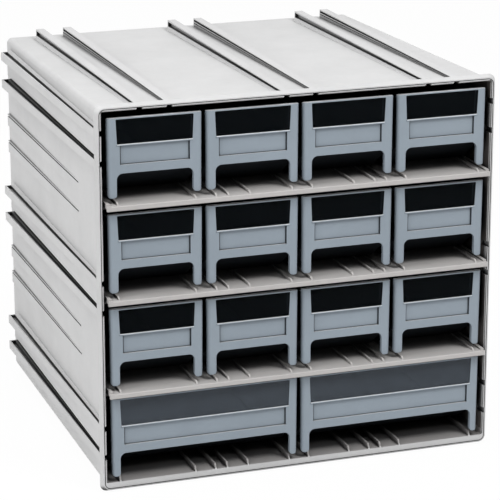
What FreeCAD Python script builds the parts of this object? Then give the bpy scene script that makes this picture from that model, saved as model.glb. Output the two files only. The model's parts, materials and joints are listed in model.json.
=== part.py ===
import FreeCAD, Part
import math
import os

from FreeCAD import Vector

# Parts bin cabinet: a moulded casing, three loose shelves and fourteen drawers.
# X runs to the right, the drawers open towards -Y and Z is up.
# The pieces are made with Y counted from the face of the front rim, and are
# moved at the end so that the origin lies under the middle of the cabinet.

# Drawers, the sizes that everything else is built round
column_count = 4
column_pitch = 70.85
shelf_count = 3
row_pitch = 67.7
drawer_gap = 2.7             # between two drawers of a row
leg_clearance = 4.2          # the front ends this far above the shelf
head_gap = 4.0               # from a small drawer to the lip of the shelf above
wide_head_gap = 2.2
run_clearance = 0.3          # between a tray and the ribs that it runs on
drawer_back_gap = 7.8

# Front rim of the casing, widest at its back edge
side_room = 6.7              # from the columns to the rim's widest edge
head_room = 1.6              # above the last row
rim_depth = 4.0
rim_flare = 1.7              # the rim's face is smaller by this on every side
rim_face = 2.0               # width of the face beside the opening
rim_radius = 5.0
opening_radius = 1.5
opening_depth = 1.2
line_offset = 0.8            # fine groove that runs round the face
line_width = 0.6
line_depth = 0.8
inner_lip_step = 0.4         # slanted lip inside the opening, behind the face
inner_lip_rise = 1.2
inner_lip_back = 5.0

# Casing behind the rim
casing_depth = 272.0
wall = 1.6
back_wall = 2.2
wall_inset_front = 3.0       # the walls stand in from the rim's widest edge
wall_inset_back = 7.5
casing_radius = 4.0
cavity_radius = 2.4
floor_top = 7.0
floor_thickness = 2.0

# Interlock rails on the four outer sides
rail_width = 6.3
rail_pair_span = 27.7        # over both rails of a pair
side_rail_low = 36.9         # middle of the lowest pair on a side, above the base
side_rail_high = 29.9        # middle of the highest pair, below the rim's top
rail_back_gap = 10.0         # from the rails' back end to the back of the casing
rail_end_wall = 1.3
rail_root = 0.8              # depth of a rail's root in the wall
rail_flare = 1.6             # the foot of a rail spreads by this
flange_share = 0.16          # layers of the outer flank, in shares of its height
groove_share = 0.50
rail_groove_depth = 2.3
lip_levels_shares = (0.12, 0.33, 0.46, 0.56)
side_levels_shares = (0.14, 0.40, 0.40, 0.66)
rail_slot_depth = 2.6
strip_rise = 0.9             # strip between the two rails of a pair
side_strip_rise = 2.5
side_strip_gap = 3.0         # open channel beside the lower rail
notch_width = 4.2            # notches in the rim's inner edge, one per rail
notch_rise = 1.0
notch_depth = 9.0
notch_rest = 0.7             # what stays of the slanted lip between two notches

# Low ribs on the side walls, halfway between the rails
small_rib_width = 7.5
small_rib_offset = 10.6
small_rib_rise = 1.6
small_rib_start = 60.0
small_rib_back_gap = 2.0
small_rib_lip = 0.8
small_rib_gap = 1.0
small_rib_groove = 0.7       # the gap is cut this far into the wall

# Shelves and the ledges that carry them
shelf_thickness = 2.2
shelf_nose = 5.5             # the front edge stands this far in front of the rim
shelf_side_gap = 1.8
shelf_back_gap = 0.4
lip_height = 3.7
lip_depth = 3.0
lip_radius = 0.8
edge_strip_width = 2.4
edge_strip_rise = 1.2
ledge_width = 3.6
ledge_height = 1.5
ledge_clearance = 0.3

# Guide ribs under the drawers
rib_thickness = 1.2
shelf_rib_height = 1.8
floor_rib_height = 3.7
rib_ramp = 2.4
shelf_rib_start = 2.0        # behind the front edge of the shelf
floor_rib_start = 0.4
rib_back_gap = 10.0
rib_side_gap = 7.5           # from the edge of a column to its outer ribs
inner_rib_offsets = (3.4, 19.1)

# Drawer front
plate = 3.2
front_lean = 0.4             # the sides lean in by this towards the feet
front_round = 3.0
front_top_radius = 0.9
top_bar = 0.8
post_width = 6.3
finger_top = 17.1
finger_radius = 4.4
leg_width = 6.6
wide_leg_width = 6.1
foot_radius = 2.1
lower_bar = 6.0
label_height = 13.3
label_inset = 2.8            # from the window's side to the label's side
label_depth = 1.3
slot_width = 0.8
slot_depth = 2.2
window_ledge = 1.1           # from the label to the window
bead_rise = 0.5              # the bead on the ledge stands out by this
window_lean = 0.8
window_radius = 0.7
cheek_depth = 2.6            # wall beside the window, behind the plate
cheek_thickness = 1.1

# Window pane
seat_margin = 0.4            # the pane's back reaches this far over and under the window
seat_depth = 1.3
pane_inset = 0.4             # from the face of the front to the pane
pane_flange = 0.9
pane_clearance = 0.15

# Drawer tray
tray_gap = 0.2               # behind the front plate
tray_side_gap = 1.6          # the tray is this much narrower than the front, each side
tray_taper = 1.5             # narrower still at the back by this, each side
tray_wall = 1.6
tray_drop = 4.0              # the rim lies below the top of the front
tray_radius = 3.0
scoop_rise = 1.3             # the finger recess starts this far above the legs' arch
scoop_depth = 30.0
cheek_clearance = 0.3        # between the cheeks and the tray's cut front wall
peg_diameter = 2.8
peg_length = 2.0
peg_clearance = 0.2
peg_share = 0.62             # place of a peg, as a share of half the drawer's width

overrun = 1.5                # cutters run past the faces that they cut

half_columns = column_pitch * column_count / 2
half_rim = half_columns + side_room
rim_height = floor_top + row_pitch * (shelf_count + 1) + head_room
opening_edge = rim_flare + rim_face
base_level = floor_top - floor_thickness
cavity_back = casing_depth - back_wall
rail_back = casing_depth - rail_back_gap
small_rib_back = casing_depth - small_rib_back_gap
rail_reach = (rail_pair_span - rail_width) / 2
drawer_width = column_pitch - drawer_gap
wide_width = column_pitch * 2 - drawer_gap
drawer_height = row_pitch - leg_clearance - lip_height - head_gap
wide_height = row_pitch - leg_clearance - lip_height - wide_head_gap
label_bottom = finger_top + lower_bar
label_top = label_bottom + label_height
window_bottom = label_top + window_ledge
scoop_top = finger_top + scoop_rise


def corner(before, here, after, radius):
    """Start, middle and end of the arc that rounds a corner."""
    back_way = (before - here).normalize()
    next_way = (after - here).normalize()
    half_angle = back_way.getAngle(next_way) / 2
    reach = radius / math.tan(half_angle)
    way = (back_way + next_way).normalize()
    middle = here + way * (radius / math.sin(half_angle) - radius)
    return here + back_way * reach, middle, here + next_way * reach


def wire(points, radii):
    """Closed wire through points, with each corner rounded by its radius."""
    corners = []
    for index, here in enumerate(points):
        if radii[index] > 0:
            after = points[(index + 1) % len(points)]
            corners.append(corner(points[index - 1], here, after, radii[index]))
        else:
            corners.append((here, None, here))
    edges = []
    for index, (start, middle, end) in enumerate(corners):
        if middle is not None:
            edges.append(Part.Arc(start, middle, end).toShape())
        edges.append(Part.makeLine(end, corners[(index + 1) % len(corners)][0]))
    return Part.Wire(edges)


def front_wire(pairs, radii, y):
    """Wire that faces the front, from pairs of x and z."""
    return wire([Vector(x, y, z) for x, z in pairs], radii)


def rectangle(half_width, low, high, radius, y):
    """Upright rectangle about the middle of the cabinet."""
    pairs = [(-half_width, low), (half_width, low), (half_width, high), (-half_width, high)]
    return front_wire(pairs, [radius] * len(pairs), y)


def loft(wires):
    return Part.makeLoft(wires, True, True)


def prism(outline, way):
    return Part.Face(outline).extrude(way)


def deep_prism(pairs, radii, y_from, y_to):
    """Prism along Y from a front view outline."""
    return prism(front_wire(pairs, radii, y_from), Vector(0, y_to - y_from, 0))


def block(x_from, x_to, y_from, y_to, z_from, z_to):
    return Part.makeBox(x_to - x_from, y_to - y_from, z_to - z_from, Vector(x_from, y_from, z_from))


def wall_inset(y):
    """Distance of the drafted walls from the rim's widest edge."""
    share = (y - rim_depth) / (casing_depth - rim_depth)
    return wall_inset_front + (wall_inset_back - wall_inset_front) * share


def inner_half(y):
    """Half the width between the inner faces of the side walls."""
    return half_rim - wall_inset(y) - wall


def shell_wire(y, inward, low, radius):
    """Section of the casing's outside, or of its inside when moved inward."""
    inset = wall_inset(y) + inward
    return rectangle(half_rim - inset, low, rim_height - inset, radius, y)


def side_place(side, along, level):
    """Place on a side of the casing, with the level counted in from the rim's edge."""
    if side == "top":
        return along, rim_height - level
    if side == "bottom":
        return along, level
    if side == "left":
        return level - half_rim, along
    return half_rim - level, along


def side_block(side, along_from, along_to, levels, y_from, y_to):
    """Block on a side of the casing, between two levels."""
    pairs = [side_place(side, along_from, levels[0]), side_place(side, along_to, levels[0]),
             side_place(side, along_to, levels[1]), side_place(side, along_from, levels[1])]
    return deep_prism(pairs, [0] * len(pairs), y_from, y_to)


def side_inset(side, y):
    return base_level if side == "bottom" else wall_inset(y)


def side_loft(side, section, y_from, y_to):
    """Bar along Y on a side, from a section that depends on the wall's inset."""
    wires = []
    for y in (y_from, y_to):
        pairs = [side_place(side, along, level) for along, level in section(side_inset(side, y))]
        wires.append(front_wire(pairs, [0] * len(pairs), y))
    return loft(wires)


def is_upright(side):
    return side in ("left", "right")


def rail(side, middle, outward):
    """One rail, grooved along both flanks, with a closed back end."""
    half = rail_width / 2
    shares = side_levels_shares if is_upright(side) else lip_levels_shares

    def section(inset):
        flange = inset * flange_share
        groove = flange + inset * groove_share
        levels = [inset * share for share in shares]
        slot = rail_slot_depth - half
        shape = [(half, 0), (half, flange), (half - rail_groove_depth, flange),
                 (half - rail_groove_depth, groove), (half, groove),
                 (half + rail_flare, inset), (half + rail_flare, inset + rail_root),
                 (-half, inset + rail_root), (-half, levels[3]), (slot, levels[3])]
        if levels[2] > levels[1]:
            shape += [(slot, levels[2]), (-half, levels[2]), (-half, levels[1]), (slot, levels[1])]
        shape += [(slot, levels[0]), (-half, levels[0]), (-half, 0)]
        return [(middle + outward * along, level) for along, level in shape]

    def end_section(inset):
        depth = inset + rail_root
        return [(middle - half, 0), (middle + half, 0), (middle + half, depth), (middle - half, depth)]

    end_start = rail_back - rail_end_wall
    return [side_loft(side, section, rim_depth, end_start),
            side_loft(side, end_section, end_start, rail_back)]


def strip(side, middle):
    """Raised strip between the two rails of a pair."""
    rise = side_strip_rise if is_upright(side) else strip_rise
    low = middle - rail_reach
    if is_upright(side):
        low += rail_width / 2 + side_strip_gap

    def section(inset):
        level = inset - rise
        depth = inset + rail_root
        return [(low, level), (middle + rail_reach, level), (middle + rail_reach, depth), (low, depth)]

    return side_loft(side, section, rim_depth, rail_back)


def rail_middles(side):
    """Middles of the three pairs of rails on a side."""
    if is_upright(side):
        low, high = side_rail_low, rim_height - side_rail_high
    else:
        high = half_columns - column_pitch / 2
        low = -high
    return [low, (low + high) / 2, high]


def rails():
    """All the rails and the strips between them."""
    pieces = []
    for side in ("top", "bottom", "left", "right"):
        for middle in rail_middles(side):
            pieces.append(strip(side, middle))
            for outward in (-1, 1):
                pieces += rail(side, middle + outward * rail_reach, outward)
    return pieces


def small_rib_bar(side, low, high, depth):
    """Bar on a side wall that fades out towards the front."""
    wires = []
    for y, rise in ((small_rib_start, 0), (small_rib_back, small_rib_rise)):
        top = wall_inset(y) - rise
        bottom = wall_inset(y) + depth
        pairs = [side_place(side, low, top), side_place(side, high, top),
                 side_place(side, high, bottom), side_place(side, low, bottom)]
        wires.append(front_wire(pairs, [0] * len(pairs), y))
    return loft(wires)


def small_rib_middles():
    """Middles of the low ribs, two halfway between each two pairs of rails."""
    low, middle, high = rail_middles("left")
    return [centre + turn * small_rib_offset
            for centre in ((low + middle) / 2, (middle + high) / 2) for turn in (-1, 1)]


def small_ribs():
    """Low ribs, each with a thin lip above it."""
    half = small_rib_width / 2
    lip = half + small_rib_gap
    pieces = []
    for side in ("left", "right"):
        for middle in small_rib_middles():
            pieces += [small_rib_bar(side, middle - half, middle + half, rail_root),
                       small_rib_bar(side, middle + lip, middle + lip + small_rib_lip, rail_root)]
    return pieces


def small_rib_grooves():
    """Cutters for the grooves between the low ribs and their lips."""
    half = small_rib_width / 2
    return [small_rib_bar(side, middle + half, middle + half + small_rib_gap, small_rib_groove)
            for side in ("left", "right") for middle in small_rib_middles()]


def notches():
    """Cutters for the notches in the rim's inner edge, and for most of the lip between two."""
    inside = wall_inset_front + wall + inner_lip_rise + overrun
    half = notch_width / 2
    cutters = []
    for side in ("top", "left", "right"):
        for middle in rail_middles(side):
            for along in (middle - rail_reach, middle + rail_reach):
                cutters.append(side_block(side, along - half, along + half,
                                          (opening_edge - notch_rise, inside), -overrun, notch_depth))
            cutters.append(side_block(side, middle - rail_reach, middle + rail_reach,
                                      (opening_edge + notch_rest, inside), -overrun, inner_lip_back))
    return cutters


def shelf_top(row):
    """Height of the surface that a row of drawers runs on, the floor being row 0."""
    return floor_top + row_pitch * row


def column_middle(column):
    return (column - (column_count - 1) / 2) * column_pitch


def rib_places():
    """Middles of the guide ribs, two per column and two more in the inner columns."""
    places = []
    for column in range(column_count):
        middle = column_middle(column)
        outer = column_pitch / 2 - rib_side_gap
        offsets = [-outer, outer]
        if abs(middle) < column_pitch:
            offsets += [math.copysign(offset, middle) for offset in inner_rib_offsets]
        places += [middle + offset for offset in offsets]
    return places


def guide_rib(middle, start, end, base, height):
    """Rib along Y with a sloped front end."""
    side = middle - rib_thickness / 2
    root = base - shelf_thickness / 2
    points = [Vector(side, start, root), Vector(side, start, base),
              Vector(side, start + rib_ramp, base + height), Vector(side, end, base + height),
              Vector(side, end, root)]
    return prism(wire(points, [0] * len(points)), Vector(rib_thickness, 0, 0))


def guide_ribs(start, base, height):
    end = cavity_back - rib_back_gap
    return [guide_rib(middle, start, end, base, height) for middle in rib_places()]


def ledge(row, turn):
    """Ledge on a side wall under a shelf."""
    top = shelf_top(row) - shelf_thickness - ledge_clearance
    wires = []
    for y in (rim_depth, cavity_back + back_wall / 2):
        inner = turn * (inner_half(y) - ledge_width)
        outer = turn * (inner_half(y) + wall / 2)
        pairs = [(inner, top - ledge_height), (outer, top - ledge_height), (outer, top), (inner, top)]
        wires.append(front_wire(pairs, [0] * len(pairs), y))
    return loft(wires)


def face_line():
    """Cutter for the fine groove in the rim's face."""
    def ring(offset):
        level = rim_flare + offset
        outline = rectangle(half_rim - level, level, rim_height - level, rim_radius - offset, -overrun)
        return prism(outline, Vector(0, overrun + line_depth, 0))
    return ring(line_offset).cut(ring(line_offset + line_width))


def casing_hollow():
    """Cutters for the opening in the rim, the slanted lip behind it and the cavity."""
    opening = prism(rectangle(half_rim - opening_edge, floor_top, rim_height - opening_edge,
                              opening_radius, -overrun), Vector(0, overrun + opening_depth, 0))
    slant = opening_edge + inner_lip_step
    lip = loft([rectangle(half_rim - slant, floor_top, rim_height - slant, opening_radius, 0),
                shell_wire(inner_lip_back + overrun, wall + inner_lip_rise, floor_top, opening_radius)])
    cavity = loft([shell_wire(inner_lip_back, wall, floor_top, cavity_radius),
                   shell_wire(cavity_back, wall, floor_top, cavity_radius)])
    return [opening, lip, cavity]


def casing():
    """Casing with its rim, rails, ledges and the guide ribs on its floor."""
    rim = loft([rectangle(half_rim - rim_flare, rim_flare, rim_height - rim_flare, rim_radius, 0),
                rectangle(half_rim, 0, rim_height, rim_radius, rim_depth)])
    body = loft([shell_wire(rim_depth / 2, 0, base_level, casing_radius),
                 shell_wire(casing_depth, 0, base_level, casing_radius)])
    outside = rim.multiFuse([body] + rails() + small_ribs())
    hollow = outside.cut(casing_hollow() + [face_line()] + notches() + small_rib_grooves())
    ledges = [ledge(row, turn) for row in range(1, shelf_count + 1) for turn in (-1, 1)]
    return hollow.multiFuse(ledges + guide_ribs(floor_rib_start, floor_top, floor_rib_height))


def shelf_plan(inward, low, high):
    """Block with the plan of a shelf, which follows the side walls."""
    back = cavity_back - shelf_back_gap
    front_half = inner_half(-shelf_nose) - shelf_side_gap - inward
    back_half = inner_half(back) - shelf_side_gap - inward
    points = [Vector(-front_half, -shelf_nose, low), Vector(front_half, -shelf_nose, low),
              Vector(back_half, back, low), Vector(-back_half, back, low)]
    return prism(wire(points, [0] * len(points)), Vector(0, 0, high - low))


def shelf(row):
    """Loose shelf with a front lip, guide ribs and a raised strip along each end."""
    top = shelf_top(row)
    under = top - shelf_thickness
    rib_start = shelf_rib_start - shelf_nose
    strips = shelf_plan(0, under, top + edge_strip_rise).cut([
        shelf_plan(edge_strip_width, under - overrun, top + edge_strip_rise + overrun),
        block(-half_rim, half_rim, -shelf_nose - overrun, rib_start, top, top + edge_strip_rise + overrun)])
    board = shelf_plan(0, under, top).cut(
        block(-half_rim, half_rim, -shelf_nose - overrun, lip_depth / 2 - shelf_nose,
              under - overrun, top + overrun))
    lip_points = [Vector(-half_rim, -shelf_nose, top), Vector(-half_rim, -shelf_nose, top - lip_height),
                  Vector(-half_rim, lip_depth - shelf_nose, top - lip_height),
                  Vector(-half_rim, lip_depth - shelf_nose, top)]
    lip = prism(wire(lip_points, [lip_radius, lip_radius, 0, 0]), Vector(half_rim * 2, 0, 0))
    lip = lip.common(shelf_plan(0, top - lip_height - overrun, top + overrun))
    return lip.multiFuse([board, strips] + guide_ribs(rib_start, top, shelf_rib_height))


def window_half(half_width):
    """Half widths of a window at its top and bottom."""
    high_half = half_width - post_width
    return high_half, high_half - window_lean


def window_pairs(half_width, height, side_grow, end_grow):
    """Corners of a window, moved outward at its sides and at its top and bottom."""
    high_half, low_half = window_half(half_width)
    top = height - top_bar + end_grow
    low = window_bottom - end_grow
    return [(-low_half - side_grow, low), (low_half + side_grow, low),
            (high_half + side_grow, top), (-high_half - side_grow, top)]


def window_prism(half_width, height, side_grow, end_grow, y_from, y_to):
    pairs = window_pairs(half_width, height, side_grow, end_grow)
    return deep_prism(pairs, [window_radius] * len(pairs), y_from, y_to)


def front_plan(half, z):
    """Plan of a front with its two rounded edges."""
    points = [Vector(-half, 0, z), Vector(half, 0, z), Vector(half, plate, z), Vector(-half, plate, z)]
    return wire(points, [front_round, front_round, 0, 0])


def front_body(half, height, leg):
    """Plate of a drawer front with its two legs."""
    finger_half = half - leg
    foot_half = half - front_lean
    pairs = [(-foot_half, 0), (-finger_half, 0), (-finger_half, finger_top), (finger_half, finger_top),
             (finger_half, 0), (foot_half, 0), (half, height), (-half, height)]
    radii = [foot_radius, foot_radius, finger_radius, finger_radius,
             foot_radius, foot_radius, front_top_radius, front_top_radius]
    rounded = loft([front_plan(foot_half, 0), front_plan(half, height)])
    return deep_prism(pairs, radii, 0, plate).common(rounded)


def cheek(half_width, height, turn):
    """Wall beside a window, behind the plate."""
    high_half, low_half = window_half(half_width)
    pairs = [(turn * low_half, window_bottom), (turn * (low_half + cheek_thickness), window_bottom),
             (turn * (high_half + cheek_thickness), height - top_bar),
             (turn * high_half, height - top_bar)]
    return deep_prism(pairs, [0] * len(pairs), plate / 2, plate + cheek_depth)


def window_bead(half_width):
    """Rounded bead under a window, on the ledge above the label."""
    half = window_half(half_width)[1]
    points = [Vector(-half, plate / 2, label_top), Vector(-half, -bead_rise, label_top),
              Vector(-half, -bead_rise, window_bottom), Vector(-half, plate / 2, window_bottom)]
    return prism(wire(points, [0, bead_rise, bead_rise, 0]), Vector(half * 2, 0, 0))


def label_cutters(half_width):
    """Recess for a label, with a deeper slot along its sides and its bottom."""
    half = half_width - post_width - label_inset
    return [block(-half, half, -overrun, label_depth, label_bottom, label_top),
            block(-half, slot_width - half, -overrun, slot_depth, label_bottom, label_top),
            block(half - slot_width, half, -overrun, slot_depth, label_bottom, label_top),
            block(-half, half, -overrun, slot_depth, label_bottom, label_bottom + slot_width / 2)]


def peg_places(half_width):
    return (-half_width * peg_share, half_width * peg_share)


def peg(x, radius, length):
    """Peg that reaches forward from the tray into the lower bar of the front."""
    return Part.makeCylinder(radius, length + overrun,
                             Vector(x, plate + tray_gap + overrun, finger_top + lower_bar / 2),
                             Vector(0, -1, 0))


def drawer_front(width, height, leg):
    """Front of a drawer about x = 0, with the feet of its legs at z = 0."""
    half = width / 2
    window = window_prism(half, height, 0, 0, -overrun, plate + overrun)
    seat = window_prism(half, height, 0, seat_margin, plate - seat_depth, plate + overrun)
    holes = [peg(x, peg_diameter / 2 + peg_clearance, peg_length + peg_clearance) for x in peg_places(half)]
    body = front_body(half, height, leg).cut([window, seat] + label_cutters(half) + holes)
    return body.multiFuse([window_bead(half), cheek(half, height, -1), cheek(half, height, 1)])


def window_pane(width, height):
    """Pane that fills the window, with a flange behind its top and bottom."""
    start = plate - seat_depth + pane_clearance
    middle = window_prism(width / 2, height, -pane_clearance, -pane_clearance,
                          pane_inset, start + pane_flange)
    flange = window_prism(width / 2, height, -pane_clearance, seat_margin - pane_clearance,
                          start, start + pane_flange)
    return middle.fuse(flange)


def tray_plan(half_width, inward, low, high):
    """Block with the plan of the tray, moved inward by the wall for its inside."""
    front = plate + tray_gap
    back = cavity_back - drawer_back_gap
    front_half = half_width - tray_side_gap
    slope = tray_taper / (back - front)
    start = front + inward
    end = back - inward
    start_half = front_half - slope * inward - inward
    end_half = front_half - tray_taper + slope * inward - inward
    points = [Vector(-start_half, start, low), Vector(start_half, start, low),
              Vector(end_half, end, low), Vector(-end_half, end, low)]
    front_corner = tray_wall
    back_corner = tray_radius - inward
    radii = [front_corner, front_corner, back_corner, back_corner]
    return prism(wire(points, radii), Vector(0, 0, high - low))


def tray_side(half_width, inward, bottom, top):
    """Block with the side view of the tray, scooped under its front."""
    front = plate + tray_gap
    back = cavity_back - drawer_back_gap
    fall = scoop_top - bottom
    shift = inward * math.hypot(fall, scoop_depth) / fall
    rise = (shift - inward) * fall / scoop_depth
    reach = shift + scoop_depth * (fall - inward) / fall
    points = [Vector(-half_width, front + inward, top),
              Vector(-half_width, front + inward, scoop_top + rise),
              Vector(-half_width, front + reach, bottom + inward),
              Vector(-half_width, back - inward, bottom + inward),
              Vector(-half_width, back - inward, top)]
    return prism(wire(points, [0] * len(points)), Vector(half_width * 2, 0, 0))


def drawer_tray(width, height, bottom):
    """Open tray behind a front; its wall is cut down behind the window."""
    half = width / 2
    top = height - tray_drop
    above = top + overrun
    outside = tray_plan(half, 0, bottom, top).common(tray_side(half, 0, bottom, top))
    inside = tray_plan(half, tray_wall, bottom, above).common(tray_side(half, tray_wall, bottom, above))
    cut_half = window_half(half)[0] + cheek_thickness + cheek_clearance
    window = block(-cut_half, cut_half, plate, plate + tray_gap + tray_wall + overrun,
                   window_bottom - cheek_clearance, above)
    pegs = [peg(x, peg_diameter / 2, peg_length) for x in peg_places(half)]
    return outside.cut([inside, window]).multiFuse(pegs)


def export(shape, name):
    """Move a finished piece into the cabinet's own frame and write it."""
    piece = shape.removeSplitter()
    piece.translate(Vector(0, (shelf_nose - casing_depth) / 2, 0))
    piece.exportStep("parts/" + name + ".step")
    print(name, piece.isValid(), len(piece.Solids), round(piece.Volume))


def export_drawer(name, x, floor, width, height, leg, rib_height):
    """Tray, front and pane of one drawer at its place in the cabinet."""
    place = Vector(x, 0, floor + leg_clearance)
    bottom = rib_height + run_clearance - leg_clearance
    pieces = {"front": drawer_front(width, height, leg),
              "window": window_pane(width, height),
              "tray": drawer_tray(width, height, bottom)}
    for kind, shape in pieces.items():
        shape.translate(place)
        export(shape, name + "_" + kind)


os.makedirs("parts", exist_ok=True)
export(casing(), "casing")
for row, row_name in enumerate(("lower", "middle", "upper"), start=1):
    export(shelf(row), row_name + "_shelf")
    for column in range(column_count):
        export_drawer("drawer_" + row_name + "_" + str(column + 1), column_middle(column), shelf_top(row),
                      drawer_width, drawer_height, leg_width, shelf_rib_height)
for side_name, turn in (("left", -1), ("right", 1)):
    export_drawer("wide_drawer_" + side_name, turn * column_pitch, shelf_top(0),
                  wide_width, wide_height, wide_leg_width, floor_rib_height)
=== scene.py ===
import json
import math

import bmesh
import bpy
from mathutils import Matrix, Vector

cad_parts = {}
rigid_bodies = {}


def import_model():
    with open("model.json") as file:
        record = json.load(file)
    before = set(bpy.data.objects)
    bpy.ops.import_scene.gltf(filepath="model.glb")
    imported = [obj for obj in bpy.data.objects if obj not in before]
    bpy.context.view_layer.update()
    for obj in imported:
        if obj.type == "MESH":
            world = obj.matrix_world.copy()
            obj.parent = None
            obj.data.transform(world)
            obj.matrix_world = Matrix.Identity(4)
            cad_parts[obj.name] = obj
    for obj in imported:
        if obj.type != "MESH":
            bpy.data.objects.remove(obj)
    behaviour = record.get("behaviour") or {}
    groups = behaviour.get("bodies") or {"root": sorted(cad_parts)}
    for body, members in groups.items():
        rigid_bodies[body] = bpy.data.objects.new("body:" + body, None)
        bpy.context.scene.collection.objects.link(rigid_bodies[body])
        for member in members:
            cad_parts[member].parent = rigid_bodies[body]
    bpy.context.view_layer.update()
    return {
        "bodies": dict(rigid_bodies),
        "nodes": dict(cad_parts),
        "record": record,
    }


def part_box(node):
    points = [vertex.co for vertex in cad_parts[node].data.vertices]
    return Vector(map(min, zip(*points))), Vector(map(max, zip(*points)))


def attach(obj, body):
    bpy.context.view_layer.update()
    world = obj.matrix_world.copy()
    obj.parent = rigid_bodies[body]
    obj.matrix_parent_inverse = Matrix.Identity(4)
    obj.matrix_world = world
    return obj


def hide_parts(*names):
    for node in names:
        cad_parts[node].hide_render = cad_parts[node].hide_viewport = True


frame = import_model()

# Sizes in metres
mm = 0.001
plane_of_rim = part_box("casing")[0].y

# Camera at the photograph's viewing angle
view_azimuth = math.radians(-19.45)
view_elevation = math.radians(16.78)
view_distance = 1729 * mm
view_target = Vector((-37.8 * mm, plane_of_rim, 167.9 * mm))
view_lens = 178.2
sensor_width = 36.0
view_end = 50.0

# Edge rounding of each kind of piece
casing_round = 0.35 * mm
shelf_round = 0.25 * mm
front_round = 0.35 * mm
tray_round = 0.3 * mm
pane_round = 0.15 * mm
weld_distance = 0.002 * mm
flat_angle = math.radians(0.6)
sharp_angle = math.radians(32)
round_steps = 2

# The casing's inside, where shade is painted into the plastic's colour: its limits lie between the faces
# of the walls, which lean in by a share of the depth. The painted shade on its floor is lighter near the
# opening and darker deeper in.
inside_half = 144.0 * mm
inside_top = 275.0 * mm
inside_floor = 6.0 * mm
inside_start = 0.8 * mm
inside_end = 271.0 * mm
wall_lean = 4.5 / 268
floor_zone = 11.5 * mm
floor_fade = (10 * mm, 32 * mm)
casing_painted_shade = ((0.2, 0.18, 0.17), (0.55, 0.53, 0.52))

# Noise patterns: scale per metre, detail and roughness
cloud_noise = (9.0, 8.0, 0.78)
flow_noise = (60.0, 3.0, 0.6)
fine_noise = (1 / (0.35 * mm), 2.0, 0.5)
wave_noise = (45.0, 1.5, 0.4)
haze_noise = (220.0, 3.0, 0.6)

# Parts of a pattern that a change is spread over
tint_span = (0.3, 0.7)
gloss_span = (0.25, 0.75)
# The span over which faces that look up take the painted light colour
painted_light_span = (0.35, 0.75)

# Surface of moulded plastic and of panes
gloss_change = (-0.05, 0.05)
grain_strength = 0.06
grain_height = 0.05 * mm
# Samples of the ambient occlusion that places the painted shade in corners, grooves and gaps
painted_shade_samples = 8
pane_dark = 0.85
pane_light = 1.2
pane_gloss_change = (-0.03, 0.05)
wave_strength = 0.15
wave_height = 0.2 * mm

# Stage and light
white = (1, 1, 1, 1)
floor_half = 6.0
floor_colour = (0.9, 0.9, 0.9, 1)
floor_roughness = 0.9
floor_specular = 0.1
floor_glow = 0.97
sky_strength = 0.35
cabinet_middle = (0, 0, 0.14)
lamps = (("top_light", (-0.5, -0.1, 1.9), (0, 0, 0.1), 1.3, 14),
         ("right_light", (0.6, -1.15, 1.75), cabinet_middle, 0.6, 22),
         ("left_light", (-1.75, -0.35, 1.1), cabinet_middle, 1.0, 13))


def clean_copy(node):
    """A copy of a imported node's mesh with whole flat faces and joined edges."""
    mesh = frame["nodes"][node].data.copy()
    work = bmesh.new()
    work.from_mesh(mesh)
    bmesh.ops.remove_doubles(work, verts=work.verts, dist=weld_distance)
    bmesh.ops.dissolve_limit(work, angle_limit=flat_angle, verts=work.verts, edges=work.edges,
                             use_dissolve_boundaries=False)
    work.to_mesh(mesh)
    work.free()
    for layer in list(mesh.uv_layers):
        mesh.uv_layers.remove(layer)
    if "custom_normal" in mesh.attributes:
        mesh.attributes.remove(mesh.attributes["custom_normal"])
    return mesh


def rounded(mesh, width, name):
    """The mesh with its edges rounded."""
    piece = bpy.data.objects.new(name, mesh)
    bpy.context.scene.collection.objects.link(piece)
    bevel = piece.modifiers.new("round", "BEVEL")
    bevel.width = width
    bevel.segments = round_steps
    bevel.limit_method = "ANGLE"
    bevel.angle_limit = sharp_angle
    bevel.use_clamp_overlap = True
    bevel.harden_normals = False
    even = piece.modifiers.new("even", "WEIGHTED_NORMAL")
    even.keep_sharp = True
    graph = bpy.context.evaluated_depsgraph_get()
    final = bpy.data.meshes.new_from_object(piece.evaluated_get(graph), depsgraph=graph)
    bpy.data.objects.remove(piece)
    return final


def make_piece(name, mesh, material, body):
    """A shown piece that rides on a body."""
    piece = bpy.data.objects.new(name, mesh)
    bpy.context.scene.collection.objects.link(piece)
    mesh.materials.clear()
    mesh.materials.append(material)
    for face in mesh.polygons:
        face.material_index = 0
    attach(piece, body)
    return piece


def nodes_of(body):
    """The names of a body's nodes."""
    return frame["record"]["behaviour"]["bodies"][body]


# Materials

def new_material(name):
    """An empty material, its node tree and its shader."""
    material = bpy.data.materials.new(name)
    material.use_nodes = True
    tree = material.node_tree
    tree.nodes.clear()
    output = tree.nodes.new("ShaderNodeOutputMaterial")
    shader = tree.nodes.new("ShaderNodeBsdfPrincipled")
    tree.links.new(shader.outputs["BSDF"], output.inputs["Surface"])
    return material, tree, shader


def fill(tree, sockets, values):
    """Each socket linked to its value, or set to it."""
    for socket, value in zip(sockets, values):
        if isinstance(value, bpy.types.NodeSocket):
            tree.links.new(value, socket)
        else:
            socket.default_value = value


def add(tree, kind, **inputs):
    """A node with some of its sockets set; a socket's name has _ for each space."""
    node = tree.nodes.new(kind)
    fill(tree, [node.inputs[key.replace("_", " ")] for key in inputs], inputs.values())
    return node


def ramp(tree, source, span, low_out, high_out):
    """A value that goes from one end to the other while the source crosses the span."""
    node = add(tree, "ShaderNodeMapRange", Value=source, From_Min=span[0], From_Max=span[1],
               To_Min=low_out, To_Max=high_out)
    return node.outputs["Result"]


def noise(tree, place, pattern):
    """The value of a noise pattern."""
    scale, detail, roughness = pattern
    node = add(tree, "ShaderNodeTexNoise", Vector=place, Scale=scale, Detail=detail, Roughness=roughness)
    return node.outputs["Fac"]


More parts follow.
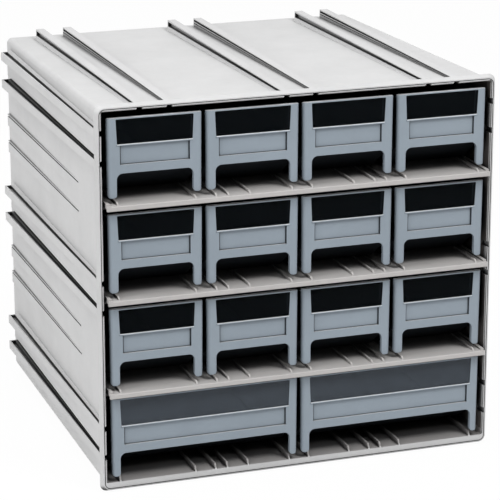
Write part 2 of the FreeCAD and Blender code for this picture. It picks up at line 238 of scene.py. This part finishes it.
def mixed(tree, blend, share, first, second):
    """Two colours mixed by a share from 0 to 1."""
    node = tree.nodes.new("ShaderNodeMix")
    node.data_type = "RGBA"
    node.blend_type = blend
    fill(tree, (node.inputs[0], node.inputs[6], node.inputs[7]), (share, first, second))
    return node.outputs[2]


def maths(tree, operation, first, second=0.0):
    """The result of one operation."""
    node = tree.nodes.new("ShaderNodeMath")
    node.operation = operation
    fill(tree, node.inputs, (first, second))
    return node.outputs[0]


def painted_shade_share(tree, reach, span):
    """1 in deep corners, grooves and gaps, where shade is painted darker, and 0 on open faces."""
    shelter = add(tree, "ShaderNodeAmbientOcclusion", Distance=reach)
    shelter.samples = painted_shade_samples
    return ramp(tree, shelter.outputs["AO"], span, 1.0, 0.0)


def painted_inside_share(tree, place):
    """1 on the inside of the casing, between its leaning walls, where shade is painted; with the depth and
    the height.
    """
    across, along, up = add(tree, "ShaderNodeSeparateXYZ", Vector=place).outputs
    depth = maths(tree, "SUBTRACT", along, plane_of_rim)
    lean = maths(tree, "MULTIPLY", depth, wall_lean)
    beside = maths(tree, "ADD", maths(tree, "ABSOLUTE", across), lean)
    above = maths(tree, "ADD", up, lean)
    share = maths(tree, "LESS_THAN", beside, inside_half)
    for operation, value, limit in (("LESS_THAN", above, inside_top), ("GREATER_THAN", up, inside_floor),
                                    ("GREATER_THAN", depth, inside_start),
                                    ("LESS_THAN", depth, inside_end)):
        share = maths(tree, "MULTIPLY", share, maths(tree, operation, value, limit))
    return share, depth, up


def painted_light_share(tree):
    """1 on faces that look up, which get a painted lighter colour as if lit from above."""
    facing = add(tree, "ShaderNodeNewGeometry").outputs["Normal"]
    parts = add(tree, "ShaderNodeSeparateXYZ", Vector=facing)
    return ramp(tree, parts.outputs[2], painted_light_span, 0.0, 1.0)


def clouded(tree, share, dark, light):
    """A colour that wanders between two, by a share that is read over the tint's span."""
    return mixed(tree, "MIX", ramp(tree, share, tint_span, 0.0, 1.0), opaque(dark), opaque(light))


def opaque(colour):
    """The colour with full cover, as the sockets want it."""
    return tuple(colour) + (1.0,)


def surface(tree, shader, tint, gloss, specular):
    """The colour, gloss and shine of a plastic."""
    tree.links.new(tint, shader.inputs["Base Color"])
    tree.links.new(gloss, shader.inputs["Roughness"])
    shader.inputs["Specular IOR Level"].default_value = specular


def relief(tree, shader, height, strength, distance):
    """A fine relief on the surface."""
    bump = add(tree, "ShaderNodeBump", Height=height, Strength=strength, Distance=distance)
    tree.links.new(bump.outputs["Normal"], shader.inputs["Normal"])


def plastic(name, colour, roughness, shade=0.93, specular=0.3, reach=10 * mm, painted_shade_span=(0.2, 0.62),
            painted_corner_shade=(0.1, 0.1, 0.1), painted_inside_shade=None, painted_top_light=None):
    """Moulded plastic: a cloudy colour, painted shade in corners, grooves and gaps, painted shade on the
    casing's inside if given, a painted lighter colour on faces that look up if given, a fine eroded grain
    and uneven gloss.
    """
    material, tree, shader = new_material(name)
    place = add(tree, "ShaderNodeTexCoord").outputs["Object"]
    dark = [part * shade for part in colour]
    light = [min(1.0, part * (2 - shade)) for part in colour]
    tint = clouded(tree, noise(tree, place, cloud_noise), dark, light)
    # Painted shade on the casing's inside: darker on the walls and deep floor, less dark on the floor near
    # the opening
    if painted_inside_shade:
        wall_shade, floor_shade = painted_inside_shade
        share, depth, up = painted_inside_share(tree, place)
        low = maths(tree, "MULTIPLY", share, maths(tree, "LESS_THAN", up, floor_zone))
        low = maths(tree, "MULTIPLY", low, ramp(tree, depth, floor_fade, 1.0, 0.0))
        high = maths(tree, "SUBTRACT", share, low)
        tint = mixed(tree, "MULTIPLY", high, tint, opaque(wall_shade))
        tint = mixed(tree, "MULTIPLY", low, tint, opaque(floor_shade))
    # Painted light: a lighter colour on faces that look up
    if painted_top_light:
        tint = mixed(tree, "MIX", painted_light_share(tree), tint, opaque(painted_top_light))
    # Painted shade: corners, grooves and gaps darkened by ambient occlusion
    corners = painted_shade_share(tree, reach, painted_shade_span)
    tint = mixed(tree, "MULTIPLY", corners, tint, opaque(painted_corner_shade))
    gloss = ramp(tree, noise(tree, place, flow_noise), gloss_span,
                 roughness + gloss_change[0], roughness + gloss_change[1])
    surface(tree, shader, tint, gloss, specular)
    relief(tree, shader, noise(tree, place, fine_noise), grain_strength, grain_height)
    return material


def smoked(name, colour, roughness, specular, alpha):
    """Dark clear plastic, with the faint waves of a moulded sheet."""
    material, tree, shader = new_material(name)
    place = add(tree, "ShaderNodeTexCoord").outputs["Object"]
    haze = noise(tree, place, haze_noise)
    dark = [part * pane_dark for part in colour]
    light = [part * pane_light for part in colour]
    gloss = ramp(tree, haze, tint_span, roughness + pane_gloss_change[0], roughness + pane_gloss_change[1])
    surface(tree, shader, clouded(tree, haze, dark, light), gloss, specular)
    shader.inputs["Alpha"].default_value = alpha
    relief(tree, shader, noise(tree, place, wave_noise), wave_strength, wave_height)
    return material


# Each finish gets painted shade in corners, grooves and gaps; the casing's inside gets painted shade, and
# the fronts' faces that look up a painted light colour
finishes = {
    "casing": plastic("casing_plastic", (0.555, 0.555, 0.557), 0.5, reach=9 * mm, painted_shade_span=(0.4, 0.78),
                      painted_corner_shade=(0.03, 0.03, 0.03), painted_inside_shade=casing_painted_shade),
    "shelf": plastic("shelf_plastic", (0.46, 0.445, 0.435), 0.5, reach=20 * mm, painted_shade_span=(0.27, 0.5)),
    "front": plastic("front_plastic", (0.262, 0.307, 0.352), 0.45, reach=7 * mm, painted_shade_span=(0.2, 0.92),
                     painted_top_light=(0.9, 0.93, 0.96)),
    "tray": plastic("tray_plastic", (0.012, 0.014, 0.017), 0.4, shade=0.9, specular=0.15),
    "small_window": smoked("small_window_plastic", (0.003, 0.0045, 0.006), 0.14, 0.06, 0.5),
    "wide_window": smoked("wide_window_plastic", (0.066, 0.08, 0.098), 0.25, 0.25, 0.6),
}
roundings = {"casing": casing_round, "shelf": shelf_round, "front": front_round, "tray": tray_round,
             "small_window": pane_round, "wide_window": pane_round}


# Pieces

def corner_of(node):
    """The low corner of a node's box."""
    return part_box(node)[0]


def size_key(node):
    """A node's size in tenths of a millimetre, to tell forms apart."""
    low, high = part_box(node)
    return tuple(round((high - low)[axis] / mm, 1) for axis in range(3))


def dress_all():
    """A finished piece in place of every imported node; alike nodes share one finished form."""
    slots = {part["node"]: part["material_slot"] for part in frame["record"]["subparts"]}
    forms = {}
    for body in frame["bodies"]:
        for node in nodes_of(body):
            slot = slots[node]
            key = (slot, size_key(node)) if slot != "casing" else ("casing",)
            if key not in forms:
                forms[key] = (rounded(clean_copy(node), roundings[slot], node + "_form"), corner_of(node))
            form, corner = forms[key]
            mesh = form.copy()
            mesh.transform(Matrix.Translation(corner_of(node) - corner))
            piece = make_piece(node + "_body", mesh, finishes[slot], body)
            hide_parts(node)


# Stage, light and camera

def white_backdrop(tree):
    """1 for the camera, mirrors and clear plastic, which see a plain white backdrop."""
    rays = add(tree, "ShaderNodeLightPath")
    seen = maths(tree, "MAXIMUM", rays.outputs["Is Camera Ray"], rays.outputs["Is Glossy Ray"])
    return maths(tree, "MAXIMUM", seen, rays.outputs["Is Transmission Ray"])


def make_floor():
    """A pale floor that the camera sees as white paper."""
    half = floor_half
    mesh = bpy.data.meshes.new("floor")
    mesh.from_pydata([(-half, -half, 0), (half, -half, 0), (half, half, 0), (-half, half, 0)],
                     [], [(0, 1, 2, 3)])
    floor = bpy.data.objects.new("floor", mesh)
    bpy.context.scene.collection.objects.link(floor)
    material, tree, shader = new_material("floor_paper")
    shader.inputs["Base Color"].default_value = floor_colour
    shader.inputs["Roughness"].default_value = floor_roughness
    shader.inputs["Specular IOR Level"].default_value = floor_specular
    glow = add(tree, "ShaderNodeEmission", Color=white, Strength=1.0)
    share = maths(tree, "MULTIPLY", white_backdrop(tree), floor_glow)
    mix = tree.nodes.new("ShaderNodeMixShader")
    tree.links.new(share, mix.inputs[0])
    tree.links.new(shader.outputs["BSDF"], mix.inputs[1])
    tree.links.new(glow.outputs["Emission"], mix.inputs[2])
    output = next(node for node in tree.nodes if node.type == "OUTPUT_MATERIAL")
    tree.links.new(mix.outputs["Shader"], output.inputs["Surface"])
    mesh.materials.append(material)


def make_world():
    """Soft light from all round, in front of a white backdrop."""
    world = bpy.data.worlds.new("studio")
    bpy.context.scene.world = world
    world.use_nodes = True
    tree = world.node_tree
    tree.nodes.clear()
    output = tree.nodes.new("ShaderNodeOutputWorld")
    soft = add(tree, "ShaderNodeBackground", Color=white, Strength=sky_strength)
    backdrop = add(tree, "ShaderNodeBackground", Color=white, Strength=1.0)
    mix = tree.nodes.new("ShaderNodeMixShader")
    tree.links.new(white_backdrop(tree), mix.inputs[0])
    tree.links.new(soft.outputs["Background"], mix.inputs[1])
    tree.links.new(backdrop.outputs["Background"], mix.inputs[2])
    tree.links.new(mix.outputs["Shader"], output.inputs["Surface"])


def make_lamp(name, place, target, size, power):
    """A square lamp that looks at its target."""
    light = bpy.data.lights.new(name, "AREA")
    light.shape = "SQUARE"
    light.size = size
    light.energy = power
    lamp = bpy.data.objects.new(name, light)
    lamp.location = place
    lamp.rotation_mode = "QUATERNION"
    lamp.rotation_quaternion = (Vector(target) - Vector(place)).to_track_quat("-Z", "Y")
    bpy.context.scene.collection.objects.link(lamp)


def make_camera():
    """The camera of the photograph's view."""
    data = bpy.data.cameras.new("camera")
    data.lens = view_lens
    data.sensor_width = sensor_width
    data.clip_end = view_end
    camera = bpy.data.objects.new("camera", data)
    back = Vector((math.sin(view_azimuth) * math.cos(view_elevation),
                   -math.cos(view_azimuth) * math.cos(view_elevation), math.sin(view_elevation)))
    camera.location = view_target + back * view_distance
    camera.rotation_mode = "QUATERNION"
    camera.rotation_quaternion = (-back).to_track_quat("-Z", "Y")
    bpy.context.scene.collection.objects.link(camera)
    bpy.context.scene.camera = camera


dress_all()
make_floor()
make_world()
for lamp_facts in lamps:
    make_lamp(*lamp_facts)
make_camera()
bpy.context.scene.view_settings.view_transform = "Standard"
